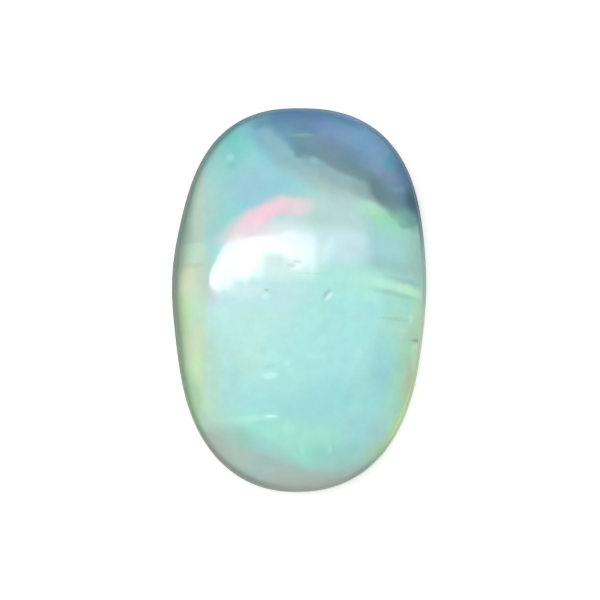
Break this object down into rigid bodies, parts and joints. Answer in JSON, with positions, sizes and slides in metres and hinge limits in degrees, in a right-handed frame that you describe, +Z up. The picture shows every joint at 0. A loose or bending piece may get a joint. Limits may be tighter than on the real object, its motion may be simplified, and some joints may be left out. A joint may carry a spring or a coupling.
{
  "type": "opal cabochon",
  "caption": "Oval polished opal cabochon with a tall dome, a low leaning wall and a flat base, pale aqua with blue, green and rose flashes.",
  "frame": {"origin": "under the middle of the stone, on the surface that its flat base lies on", "axes": "+Y along the oval's long axis towards its squarer end, +X across it, +Z up through the top of the dome"},
  "size_m": [0.0084, 0.0126, 0.0036],
  "materials": {
    "opal": "polished precious opal, milky aqua body with a blue wedge, green and rose flashes, and a grey potch foot"
  },
  "bodies": {
    "root": {"opal": "opal"}
  },
  "joints": []
}
